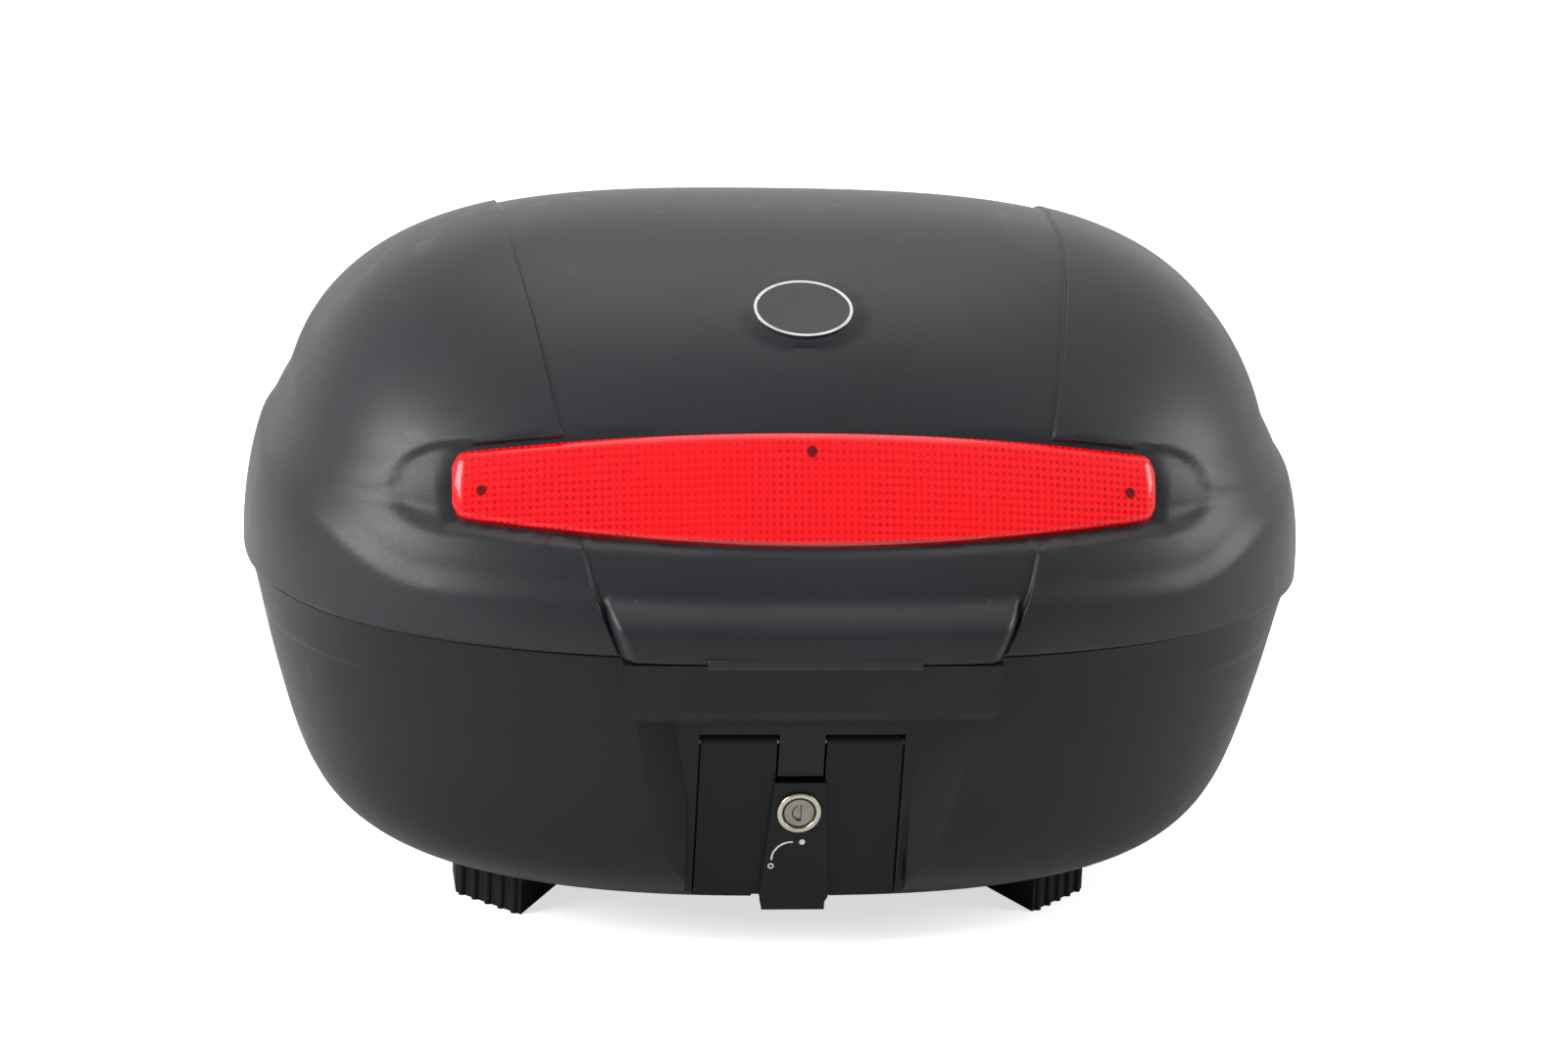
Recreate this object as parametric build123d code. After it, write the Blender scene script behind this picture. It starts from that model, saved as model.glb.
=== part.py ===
from math import copysign, cos, pi, sin, sqrt
import os

from build123d import *

# A hard motorcycle top case: domed lid over a bowl-shaped lower shell, with a locking flap
# and handle at the front (-Y) and the hinges at the back (+Y).
# Millimetres, +Z up, floor at Z = 0, middle of the case at X = 0.

# ---- shell forms -------------------------------------------------------------------------
parting_height = 172.0      # underside of the lid above the floor
parting_gap = 1.0           # open joint between the lid and the lower shell
wall = 3.2                  # shell wall
ring_points = 24            # points round one plan curve
plan_power = 2.5            # squareness of the plan curve

lid_height = 185.0          # full height of the dome formula
lid_shares = (0.0, 0.12, 0.24, 0.4, 0.58, 0.74, 0.86, 0.94, 0.985)    # heights of its curves
dome_half_width = 260.0
dome_front = 194.0
dome_back = 206.0
side_power = 3.2            # squareness of the dome seen from the front
front_power = 2.2           # squareness of the dome seen from the side
back_power = 2.1
side_belt = 17.0            # proud belt round the foot of the lid, at the sides
side_belt_height = 82.0
front_belt = 16.0           # the same belt at the front
front_belt_height = 70.0
belt_power = 2.0

bowl_depth = 147.0          # parting plane to the underside of the bowl
bowl_half_width = 274.5
bowl_front = 212.5
bowl_back = 206.0
bowl_side_taper = 0.25     # inward lean per millimetre of depth
bowl_front_taper = 0.17
bowl_back_taper = 0.12
bowl_round_depth = 151.5    # depth at which the rounded foot would close
bowl_round_power = 6.2
bowl_round_root = 7.6
bowl_shares = (0.0, 0.25, 0.5, 0.7, 0.84, 0.93, 1.0)                   # depths of its curves
floor_wall = 4.0

# ---- rim and seal ------------------------------------------------------------------------
rim_width = 12.0
rim_height = 6.0
seal_inset = 6.0            # outer edge of the seal, measured in from the case's outside
seal_width = 2.4
seal_height = 2.4
seal_clearance = 0.3

# ---- handle block ------------------------------------------------------------------------
handle_front = 220.0        # how far forward the handle block stands
handle_half_top = 107.0
handle_half_parting = 94.0
handle_half_bottom = 92.0
handle_top = 204.0
handle_shoulder = 192.0
handle_bottom = 138.5
handle_back = 150.0         # the block runs this far back into the wall
handle_wall = 5.0
handle_crown = 2.0          # the lid part of the block leans in by this much towards its top
handle_corner = 8.0
handle_lean = 6.0           # the block's face leans in by this much towards its foot

# ---- flap and its hinge ------------------------------------------------------------------
flap_lean = 10.0            # degrees; the flap's foot stands further back than its head
flap_axis_y = -177.0
flap_axis_z = 118.0
flap_half_width = 51.0
flap_length = 86.0          # hinge axis to the lower edge of the plate
flap_front = 5.0            # hinge axis to the front face
flap_back = 3.0             # hinge axis to the back face
flap_gap = 0.8
flap_running = 0.6          # gap round the rolled upper edge
notch_half_width = 12.6
notch_depth = 20.0          # below the hinge axis
rib_proud = 3.0
rib_half_top = 13.0
rib_half_foot = 17.5
tongue_half_width = 16.0
tongue_length = 93.5        # hinge axis to the tip of the tongue
hook_thickness = 2.0        # steel hook behind the tongue
hook_height = 20.0
hook_reach = 9.0
hook_nose = 3.0
pin_radius = 2.0
pin_clearance = 0.05
cover_half_width = 11.5     # middle tongue of the hinge cover
cover_depth = 18.0          # below the hinge axis
cover_top = 11.0            # above the hinge axis
cover_gap = 5.9             # underside of the cover's bar above the hinge axis

# ---- lock box ----------------------------------------------------------------------------
recess_half = 56.0          # flat floor of the grip recess under the handle
recess_flank = 1.2          # how much the recess widens for each millimetre forward
box_half_width = 56.0
box_back = -134.0
box_bore_half_width = 47.0
box_bore_floor = 40.0
box_bore_top = 160.0
box_pocket_front = -196.0   # the upper end of the box reaches into the handle block
deck_half_width = 22.0      # opening for the lid's strike
deck_front = -178.0
deck_back = -140.0
catch_half_width = 20.0     # recess for the rack's catch plate
catch_top = 36.0
catch_back = -138.0
box_cover_thickness = 3.0
box_cover_margin = 2.0

# ---- lock --------------------------------------------------------------------------------
lock_drop = 36.5            # hinge axis to the lock's centre, along the flap
barrel_radius = 9.5
barrel_end = 18.0           # behind the hinge axis
bezel_radius = 11.4
bezel_height = 2.2
rotor_radius = 7.5
rotor_clearance = 0.05
rotor_end = 20.0
rotor_recess = 1.0
key_slot_width = 2.4
key_slot_height = 9.4
key_slot_depth = 16.0
shutter_depth = 1.4         # the dust shutter lies this far inside the slot
shutter_thickness = 1.0
shutter_clearance = 0.1
nut_radius = 13.0
nut_thickness = 4.0
cam_thickness = 3.0
cam_reach = 22.0
cam_half_width = 4.0
cam_hub_radius = 7.0
cam_pin_radius = 2.5
cam_pin_length = 6.5
cam_screw_radius = 2.0
cam_screw_head_radius = 4.0
cam_screw_head = 2.0

# ---- strike on the lid -------------------------------------------------------------------
strike_front = 24.5         # behind the hinge axis
strike_thickness = 3.0
strike_leg_outer = 14.0
strike_leg_inner = 8.0
strike_toe = 3.5
strike_foot_drop = 19.0     # hinge axis to the upper side of the hook's foot
strike_foot_height = 5.0
strike_tab_half_width = 17.0
strike_tab_front = -176.0
strike_tab_back = -146.0
boss_half_width = 32.0
boss_height = 12.0

# ---- reflector ---------------------------------------------------------------------------
reflector_z = 254.0
reflector_y = -180.5        # outermost point of the lens, in the middle
reflector_lean = 24.0       # degrees back from upright
reflector_bow = 700.0       # radius of the bowed face in plan
reflector_half_width = 176.0
reflector_end_height = 33.0
reflector_rise = 7.5       # arch of the upper edge
reflector_drop = 17.0        # arch of the lower edge
lens_thickness = 5.0
tray_thickness = 4.0
tray_inset = 2.0
reflector_fit = 0.4
reflector_screw_half_span = 162.0
reflector_screw_rise = 17.0

# ---- badge -------------------------------------------------------------------------------
badge_lift = 153.5          # above the parting plane, along Z
badge_half_width = 25.0
badge_half_height = 19.0
badge_thickness = 2.4
badge_seat = 1.6
badge_rim_width = 1.6
badge_fit = 0.1

# ---- hinges ------------------------------------------------------------------------------
hinge_axis_y = 214.5
hinge_axis_z = 171.5
hinge_centre_x = 70.0
hinge_half_length = 30.0
hinge_knuckle_radius = 5.5
hinge_knuckle_half = 12.0
hinge_knuckle_gap = 0.3
hinge_pad_y = 203.0
hinge_leaf_thickness = 4.0
hinge_leaf_height = 30.0
hinge_leaf_offset = 6.5     # hinge axis to the nearer edge of each leaf
hinge_boss_margin = 5.0
hinge_boss_y = 192.0
hinge_screw_pitch = 40.0

# ---- feet and rack claws -----------------------------------------------------------------
foot_height = parting_height - bowl_depth
foot_apex = (134.0, 109.0)
foot_outer = (166.0, 75.0)
foot_inner = (112.0, 64.0)
foot_back_y = 42.0
foot_rib_count = 5
foot_rib_radius = 2.0
foot_screw_x = 139.0
foot_screw_y = 68.0
claw_x = 90.0
claw_half_width = 15.0
claw_centre_y = 122.0
tube_radius = 8.2
claw_wall = 3.8
claw_lip = 6.0
claw_plate = 3.0
claw_plate_half_length = 12.0
claw_screw_half_pitch = 8.0

# ---- screws and floor mat ----------------------------------------------------------------
screw_radius = 2.0
screw_head_radius = 3.8
screw_head_height = 2.4
screw_clearance = 0.05
screw_grip = 7.0            # how far a screw runs into the piece that holds it
mat_thickness = 2.5
mat_inset = 8.0
mat_gap = 2.0

big = 400.0                 # larger than the case, for cutting tools


def block(x_low, x_high, y_low, y_high, z_low, z_high):
    """Box between two corners."""
    size = Box(x_high - x_low, y_high - y_low, z_high - z_low)
    middle = ((x_low + x_high) / 2, (y_low + y_high) / 2, (z_low + z_high) / 2)
    return Pos(*middle) * size


def rod(radius, y_front, y_back, x=0.0, z=0.0):
    """Cylinder along Y."""
    length = y_back - y_front
    return Pos(x, y_front + length / 2, z) * Rot(X=90) * Cylinder(radius, length)


def cross_rod(radius, x_low, x_high, y=0.0, z=0.0):
    """Cylinder along X."""
    return Pos((x_low + x_high) / 2, y, z) * Rot(Y=90) * Cylinder(radius, x_high - x_low)


def upright_rod(radius, z_low, z_high, x=0.0, y=0.0):
    """Cylinder along Z."""
    return Pos(x, y, (z_low + z_high) / 2) * Cylinder(radius, z_high - z_low)


def front_shape(points, y_front, y_back, corner=0.0, rounded=()):
    """Closed outline seen from the front, given as (x, z), run back along Y."""
    outline = make_face(Polyline(*[(x, 0, z) for x, z in points], close=True))
    solid = extrude(outline, amount=y_back - y_front, dir=(0, 1, 0))
    solid = Pos(0, y_front, 0) * solid
    if corner:
        edges = [edge for edge in solid.edges().filter_by(Axis.Y)
                 if any(abs(edge.center().X - x) < 1 and abs(edge.center().Z - z) < 1
                        for x, z in rounded)]
        solid = fillet(edges, corner)
    return solid


def side_shape(points, half_width):
    """Closed outline seen from the side, given as (y, z), as wide as twice half_width."""
    outline = make_face(Polyline(*[(0, y, z) for y, z in points], close=True))
    return extrude(outline, amount=half_width, dir=(1, 0, 0), both=True)


def in_flap(part):
    """Moves a piece drawn about the flap's hinge axis into the case."""
    return Pos(0, flap_axis_y, flap_axis_z) * Rot(X=flap_lean) * part


# ---- plan curves of the two shells -------------------------------------------------------
def plan_face(half_width, front, back, z):
    """Rounded plan curve at one height."""
    points = []
    for i in range(ring_points):
        angle = 2 * pi * i / ring_points
        depth = back if sin(angle) > 0 else front
        x = half_width * copysign(abs(cos(angle)) ** (2 / plan_power), cos(angle))
        y = depth * copysign(abs(sin(angle)) ** (2 / plan_power), sin(angle))
        points.append((x, y, z))
    return make_face(Spline(*points, periodic=True))


def swell(height, full, power):
    """How much of a belt is left at a height above the parting plane."""
    return max(0.0, 1 - (height / full) ** power)


def lid_form(inset):
    """Solid of the lid, drawn in by a wall thickness."""
    height = lid_height - inset
    sections = []
    for share in lid_shares:
        z = share * height
        side = (dome_half_width - inset) * (1 - share**side_power) ** (1 / side_power)
        front = (dome_front - inset) * (1 - share**front_power) ** (1 / front_power)
        back = (dome_back - inset) * (1 - share**back_power) ** (1 / back_power)
        side += side_belt * swell(z, side_belt_height, belt_power)
        front += front_belt * swell(z, front_belt_height, belt_power)
        sections.append(plan_face(side, front, back, parting_height + z))
    return loft(sections)


def bowl_size(inset, floor, drop):
    """Half width, front and back of the lower shell at a depth below the parting plane."""
    share = drop / (bowl_round_depth - floor)
    foot = (1 - share**bowl_round_power) ** (1 / bowl_round_root)
    side = bowl_half_width - inset - bowl_side_taper * drop
    front = bowl_front - inset - bowl_front_taper * drop
    back = bowl_back - inset - bowl_back_taper * drop
    return side * foot, front * foot, back * foot


def bowl_form(inset, floor):
    """Solid of the lower shell, drawn in by a wall thickness, down to its floor."""
    depth = bowl_depth - floor
    top = parting_height - parting_gap
    sections = []
    for share in bowl_shares:
        drop = share * depth
        z = top - drop * (depth - parting_gap) / depth
        sections.append(plan_face(*bowl_size(inset, floor, drop), z))
    return loft(sections)


def rim_ring(outset, width, z_low, z_high):
    """Upright band that follows the parting line, drawn in from the case's outside."""
    def sheet(inset):
        outline = plan_face(bowl_half_width - inset, bowl_front - inset, bowl_back - inset, z_low)
        return extrude(outline, amount=z_high - z_low, dir=(0, 0, 1))
    return sheet(outset) - sheet(outset + width)


# ---- screws ------------------------------------------------------------------------------
def screw_upright(x, y, seat, up, length):
    """Screw with its head on the seat and its shank along Z; up is the head's side."""
    low, high = (seat, seat + screw_head_height) if up else (seat - screw_head_height, seat)
    shank = (seat - length, seat) if up else (seat, seat + length)
    return (upright_rod(screw_head_radius, low, high, x, y)
            + upright_rod(screw_radius, *shank, x, y))


def screw_along_y(x, seat, z, outward, length):
    """Screw along Y; outward is -1 if the head faces the front and +1 if it faces the back."""
    head = sorted((seat, seat + outward * screw_head_height))
    shank = sorted((seat, seat - outward * length))
    return rod(screw_head_radius, *head, x, z) + rod(screw_radius, *shank, x, z)


# ---- lower shell -------------------------------------------------------------------------
def handle_outline(top, top_half, bottom, bottom_half):
    return [(-top_half, top), (top_half, top), (bottom_half, bottom), (-bottom_half, bottom)]


def lower_handle():
    """The half of the handle block that belongs to the lower shell."""
    top = parting_height - parting_gap
    profile = side_shape([(-handle_back, top), (-handle_front, top),
                          (-handle_front + handle_lean, handle_bottom + handle_lean),
                          (-handle_front + 2 * handle_lean, handle_bottom),
                          (-handle_back, handle_bottom)], handle_half_parting)
    corners = [(-handle_half_bottom, handle_bottom), (handle_half_bottom, handle_bottom)]
    face = front_shape(handle_outline(top, handle_half_parting, handle_bottom, handle_half_bottom),
                       -handle_front, -handle_back, handle_corner, corners)
    return profile & face


def recess_tool(behind):
    """Space in front of the flat floor that the flap lies in, with slanted flanks.

    behind moves the floor and the flanks back, to keep a wall behind them."""
    slab = in_flap(block(-big, big, -big, behind - flap_front, -big, big))
    near = flap_axis_y + behind
    reach = big / 2
    half_far = recess_half + recess_flank * reach
    outline = [(-recess_half, near), (recess_half, near), (half_far, near - reach),
               (-half_far, near - reach)]
    low = make_face(Polyline(*[(x, y, 0) for x, y in outline], close=True))
    flanks = extrude(low, amount=handle_bottom + behind, dir=(0, 0, 1))
    floor = block(-recess_half, recess_half, near, 0, 0, handle_bottom + behind)
    return slab & (flanks + floor)


def flap_bed_tool():
    """Space for the flap's plate and its rolled upper edge, open at the bottom."""
    half = flap_half_width + flap_gap
    return in_flap(block(-half, half, -2 * flap_gap - flap_front, flap_front + flap_running,
                         -tongue_length - flap_gap, cover_top))


def mechanism_tool():
    """Space behind the flap, its opening in the deck and the rack catch's recess."""
    bore = block(-box_bore_half_width, box_bore_half_width, flap_axis_y + flap_front, box_back,
                 box_bore_floor, box_bore_top)
    deck = block(-deck_half_width, deck_half_width, deck_front, deck_back,
                 box_bore_top - wall, parting_height)
    catch = block(-catch_half_width, catch_half_width, -bowl_front, catch_back, 0.0, catch_top)
    pocket = block(-box_bore_half_width, box_bore_half_width, box_pocket_front,
                   flap_axis_y + flap_front, handle_bottom + handle_wall, box_bore_top)
    return bore + deck + catch + pocket


def box_screw_places():
    x = (box_bore_half_width + box_half_width) / 2
    low = parting_height - bowl_depth + floor_wall + 3 * box_cover_margin + screw_head_radius
    high = parting_height - parting_gap - rim_height - screw_head_radius
    return [(side * x, z) for side in (-1, 1) for z in (low, (low + high) / 2, high)]


def hinge_places():
    return [(side * hinge_centre_x) for side in (-1, 1)]


def hinge_screw_places():
    return [middle + side * hinge_screw_pitch / 2 for middle in hinge_places() for side in (-1, 1)]


def hinge_leaf_span(upper):
    """Lower and upper edge of a hinge leaf."""
    near = hinge_leaf_offset if upper else -hinge_leaf_offset
    far = near + (hinge_leaf_height if upper else -hinge_leaf_height)
    return sorted((hinge_axis_z + near, hinge_axis_z + far))


def hinge_boss(upper):
    """Thick patch inside the back wall that takes the hinge screws."""
    low, high = hinge_leaf_span(upper)
    half = hinge_half_length + hinge_boss_margin
    edge = parting_height if upper else parting_height - parting_gap
    low, high = (edge, high + hinge_boss_margin) if upper else (low - hinge_boss_margin, edge)
    return [block(x - half, x + half, hinge_boss_y, hinge_pad_y, low, high)
            for x in hinge_places()]


def hinge_pad_tool(upper):
    """Flat seat for each leaf on the back wall."""
    low, high = hinge_leaf_span(upper)
    half = hinge_half_length + flap_gap
    low, high = (0.0, high + flap_gap) if upper else (low - flap_gap, big)
    return [block(x - half, x + half, hinge_pad_y, big, low, high) for x in hinge_places()]


def hinge_screw_z(upper):
    low, high = hinge_leaf_span(upper)
    return (low + high) / 2


def foot_places():
    """Signs of X and Y for the four feet."""
    return [(x, y) for y in (-1, 1) for x in (-1, 1)]


def claw_screw_places():
    y = claw_centre_y - tube_radius - claw_plate_half_length
    return [(side * claw_x + step * claw_screw_half_pitch, y)
            for side in (-1, 1) for step in (-1, 1)]


def lower_shell():
    top = parting_height - parting_gap
    underside = parting_height - bowl_depth
    shell = bowl_form(0.0, 0.0) + lower_handle()
    cavity = bowl_form(wall, floor_wall)
    cavity -= rim_ring(0.0, rim_width, top - rim_height, top)
    cavity -= recess_tool(2 * wall)
    cavity -= block(-box_half_width, box_half_width, -big, box_back, 0.0, top)
    for boss in hinge_boss(False):
        cavity -= boss
    shell -= cavity
    shell -= recess_tool(0.0)
    shell -= flap_bed_tool()
    shell -= mechanism_tool()
    bore = pin_radius + pin_clearance
    shell -= cross_rod(bore, -box_half_width, box_half_width, flap_axis_y, flap_axis_z)
    hole = screw_radius + screw_clearance
    for x, z in box_screw_places():
        shell -= rod(hole, box_back - screw_grip - screw_clearance, box_back, x, z)
    for pad in hinge_pad_tool(False):
        shell -= pad
    for x in hinge_screw_places():
        shell -= rod(hole, hinge_pad_y - screw_grip - screw_clearance, hinge_pad_y, x,
                     hinge_screw_z(False))
    foot_hole = foot_screw_x, foot_screw_y
    for sx, sy in foot_places():
        shell -= upright_rod(hole, underside, underside + floor_wall,
                             sx * foot_hole[0], sy * foot_hole[1])
    for x, y in claw_screw_places():
        shell -= upright_rod(hole, underside, underside + floor_wall, x, y)
    return shell


# ---- lid ---------------------------------------------------------------------------------
def lid_handle():
    """The half of the handle block that belongs to the lid."""
    profile = side_shape([(-handle_back, parting_height), (-handle_front, parting_height),
                          (-handle_front + handle_crown, handle_shoulder),
                          (-dome_front, handle_top), (-handle_back, handle_top)],
                         handle_half_top)
    face = front_shape(handle_outline(handle_top, handle_half_top,
                                      parting_height, handle_half_parting),
                       -handle_front, -handle_back)
    return profile & face


def in_reflector(part):
    """Moves a piece drawn about the middle of the lens face into the lid."""
    return Pos(0, reflector_y, reflector_z) * Rot(X=-reflector_lean) * part


def reflector_outline(grow):
    """Outline of the lens seen square on: bowed upper and lower edges, short upright ends."""
    half = reflector_half_width + grow
    end = reflector_end_height / 2 + grow
    upper = ThreePointArc((half, 0, end), (0, 0, end + reflector_rise), (-half, 0, end))
    lower = ThreePointArc((-half, 0, -end), (0, 0, -end - reflector_drop), (half, 0, -end))
    left = Line((-half, 0, end), (-half, 0, -end))
    right = Line((half, 0, -end), (half, 0, end))
    return make_face(Wire([upper, left, lower, right]))


def bowed_layer(front, back, grow):
    """The lens outline between two depths behind its bowed face."""
    deep = extrude(reflector_outline(grow), amount=big / 4, dir=(0, 1, 0), both=True)
    centre = reflector_bow
    outside = Pos(0, centre, 0) * Cylinder(reflector_bow - front, big)
    inside = Pos(0, centre, 0) * Cylinder(reflector_bow - back, big)
    return deep & (outside - inside) & block(-big, big, -big, big / 2, -big, big)


def reflector_screw_places():
    """X and Z of the three screws, seen square on."""
    upper = reflector_end_height / 2 + reflector_rise - tray_inset - 2 * screw_head_radius
    return [(-reflector_screw_half_span, 0.0), (0.0, upper), (reflector_screw_half_span, 0.0)]


def bow_depth(x):
    """How far the lens face falls back at a distance from the middle."""
    return reflector_bow - sqrt(reflector_bow**2 - x**2)


def badge_place():
    """Middle of the badge's seat on the dome, and how far the seat leans back."""
    share = badge_lift / lid_height
    y = -dome_front * (1 - share**front_power) ** (1 / front_power)
    slope = Vector(0, -(-y / dome_front) ** (front_power - 1) / dome_front,
                   share ** (front_power - 1) / lid_height).normalized()
    seat = Vector(0, y, parting_height + badge_lift) - slope * badge_seat
    return Plane(origin=seat, x_dir=(1, 0, 0), z_dir=slope)


def badge_oval(grow, low, high):
    outline = badge_place() * Ellipse(badge_half_width + grow, badge_half_height + grow)
    up = badge_place().z_dir
    solid = extrude(outline, amount=high - low, dir=up)
    return Pos(*(up * low)) * solid


def lid_shell():
    shell = lid_form(0.0) + lid_handle()
    cavity = lid_form(wall)
    cavity -= rim_ring(0.0, rim_width, parting_height, parting_height + rim_height)
    cavity -= block(-boss_half_width, boss_half_width, -big, strike_tab_back,
                    parting_height, parting_height + boss_height)
    backing = lens_thickness + tray_thickness + wall + reflector_fit
    cavity -= in_reflector(bowed_layer(-big / 8, backing, wall + reflector_fit))
    for boss in hinge_boss(True):
        cavity -= boss
    shell -= cavity
    shell -= in_reflector(bowed_layer(-big / 8, lens_thickness + tray_thickness, reflector_fit))
    shell -= badge_oval(badge_fit, 0.0, 4 * badge_thickness)
    groove = seal_inset - seal_clearance
    shell -= rim_ring(groove, seal_width + 2 * seal_clearance, parting_height,
                      parting_height - parting_gap + seal_height + 2 * seal_clearance)
    for pad in hinge_pad_tool(True):
        shell -= pad
    hole = screw_radius + screw_clearance
    for x in hinge_screw_places():
        shell -= rod(hole, hinge_pad_y - screw_grip - screw_clearance, hinge_pad_y, x,
                     hinge_screw_z(True))
    for x, y in strike_screw_places():
        shell -= upright_rod(hole, parting_height, parting_height + screw_grip, x, y)
    for x, z in reflector_screw_places():
        back = bow_depth(x) + lens_thickness + tray_thickness
        shell -= in_reflector(rod(hole, back - 1, back + wall - screw_clearance, x, z))
    return shell


def rim_seal():
    low = parting_height - parting_gap + seal_clearance
    return rim_ring(seal_inset, seal_width, low, low + seal_height)


# ---- reflector and badge -----------------------------------------------------------------
def reflector_lens():
    lens = bowed_layer(0.0, lens_thickness, 0.0)
    for x, z in reflector_screw_places():
        seat = bow_depth(x) + screw_head_height
        lens -= rod(screw_head_radius + screw_clearance, -big / 8, seat, x, z)
        lens -= rod(screw_radius + screw_clearance, seat - 1, big / 8, x, z)
    return in_reflector(lens)


def reflector_tray():
    tray = bowed_layer(lens_thickness, lens_thickness + tray_thickness, -tray_inset)
    for x, z in reflector_screw_places():
        tray -= rod(screw_radius + screw_clearance, -big / 8, big / 8, x, z)
    return in_reflector(tray)


def reflector_screws():
    length = lens_thickness + tray_thickness + wall - screw_head_height - 2 * screw_clearance
    screws = [screw_along_y(x, bow_depth(x) + screw_head_height, z, -1, length)
              for x, z in reflector_screw_places()]
    return in_reflector(Compound(screws))


def badge_plate():
    return badge_oval(-badge_rim_width, 0.0, badge_thickness)


def badge_rim():
    return (badge_oval(0.0, 0.0, badge_thickness + badge_fit)
            - badge_oval(-badge_rim_width, -1, 2 * badge_thickness))


# ---- hinges ------------------------------------------------------------------------------
def knuckle(x_low, x_high, upper):
    """One knuckle and the web that joins it to its leaf."""
    barrel = cross_rod(hinge_knuckle_radius, x_low, x_high, hinge_axis_y, hinge_axis_z)
    side = 1 if upper else -1
    near = hinge_axis_z + side * parting_gap / 2
    low, high = sorted((near, hinge_axis_z + side * (hinge_leaf_offset + hinge_leaf_thickness)))
    web = block(x_low, x_high, hinge_pad_y, hinge_axis_y, low, high)
    return barrel + web


def hinge_leaves(upper):
    """The two leaves of one side, with their knuckles, bored for the pins and screws."""
    leaves = []
    low, high = hinge_leaf_span(upper)
    gap = hinge_knuckle_gap
    for x in hinge_places():
        leaf = block(x - hinge_half_length, x + hinge_half_length, hinge_pad_y,
                     hinge_pad_y + hinge_leaf_thickness, low, high)
        if upper:
            leaf += knuckle(x - hinge_knuckle_half + gap, x + hinge_knuckle_half - gap, True)
        else:
            leaf += knuckle(x - hinge_half_length, x - hinge_knuckle_half, False)
            leaf += knuckle(x + hinge_knuckle_half, x + hinge_half_length, False)
        leaf -= cross_rod(pin_radius + pin_clearance, x - hinge_half_length,
                          x + hinge_half_length, hinge_axis_y, hinge_axis_z)
        for step in (-1, 1):
            leaf -= rod(screw_radius + screw_clearance, hinge_pad_y,
                        hinge_pad_y + hinge_leaf_thickness,
                        x + step * hinge_screw_pitch / 2, hinge_screw_z(upper))
        leaves.append(leaf)
    return Compound(leaves)


def hinge_pins():
    return Compound([cross_rod(pin_radius, x - hinge_half_length, x + hinge_half_length,
                               hinge_axis_y, hinge_axis_z) for x in hinge_places()])


def hinge_screws(upper):
    seat = hinge_pad_y + hinge_leaf_thickness
    length = hinge_leaf_thickness + screw_grip
    return Compound([screw_along_y(x, seat, hinge_screw_z(upper), 1, length)
                     for x in hinge_screw_places()])


# ---- flap --------------------------------------------------------------------------------
def flap_rib():
    """Raised middle rib that runs down into the tongue."""
    foot = -tongue_length
    outline = [(-rib_half_top, -notch_depth), (rib_half_top, -notch_depth),
               (rib_half_foot, -flap_length), (tongue_half_width, -flap_length - rib_proud),
               (tongue_half_width, foot), (-tongue_half_width, foot),
               (-tongue_half_width, -flap_length - rib_proud), (-rib_half_foot, -flap_length)]
    return front_shape(outline, -flap_front - rib_proud, flap_back)


def latch_flap():
    plate = block(-flap_half_width, flap_half_width, -flap_front, flap_back, -flap_length, 0)
    roll = cross_rod(flap_front, -flap_half_width, flap_half_width)
    flap = plate + roll + flap_rib()
    flap -= block(-notch_half_width, notch_half_width, -big, big, -notch_depth, big)
    flap -= cross_rod(pin_radius + pin_clearance, -flap_half_width, flap_half_width)
    flap -= rod(barrel_radius + rotor_clearance, -big / 8, big / 8, 0, -lock_drop)
    return in_flap(flap)


def hinge_cover():
    """Fixed bar above the flap, with the middle tongue that carries the hinge pin."""
    half = flap_half_width + flap_gap
    bar = block(-half, half, -flap_front, flap_back + 1, cover_gap, cover_top)
    tongue = block(-cover_half_width, cover_half_width, -flap_front, flap_back,
                   -cover_depth, cover_gap)
    cover = bar + tongue
    cover -= cross_rod(pin_radius + pin_clearance, -half, half)
    return in_flap(cover)


def flap_pin():
    return in_flap(cross_rod(pin_radius, -box_half_width + 1, box_half_width - 1))


def tongue_hook():
    """Steel hook behind the tongue that grips the rack's catch plate."""
    half = tongue_half_width - rib_proud
    back = flap_back + hook_thickness
    plate = block(-half, half, flap_back, back, -tongue_length, -tongue_length + hook_height)
    nose = block(-half, half, back, back + hook_reach, -tongue_length,
                 -tongue_length + hook_nose)
    return in_flap(plate + nose)


# ---- lock --------------------------------------------------------------------------------
def rib_face():
    return -flap_front - rib_proud


def lock_barrel():
    barrel = rod(barrel_radius, rib_face(), barrel_end, 0, -lock_drop)
    barrel -= rod(rotor_radius + rotor_clearance, rib_face() - 1, barrel_end + 1, 0, -lock_drop)
    return in_flap(barrel)


def lock_bezel():
    ring = rod(bezel_radius, rib_face() - bezel_height, rib_face(), 0, -lock_drop)
    ring -= rod(rotor_radius + 2 * rotor_clearance, -big / 8, 0, 0, -lock_drop)
    ring = fillet(ring.edges().sort_by(Axis.Y)[0:2], bezel_height / 4)
    return in_flap(ring)


def key_slot():
    face = rib_face() - bezel_height + rotor_recess
    return block(-key_slot_width / 2, key_slot_width / 2, face, face + key_slot_depth,
                 -lock_drop - key_slot_height / 2, -lock_drop + key_slot_height / 2)


def lock_rotor():
    face = rib_face() - bezel_height + rotor_recess
    rotor = rod(rotor_radius, face, rotor_end, 0, -lock_drop) - key_slot()
    rotor -= rod(cam_screw_radius + screw_clearance, rotor_end - screw_grip, rotor_end + 1,
                 0, -lock_drop)
    return in_flap(rotor)


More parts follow.
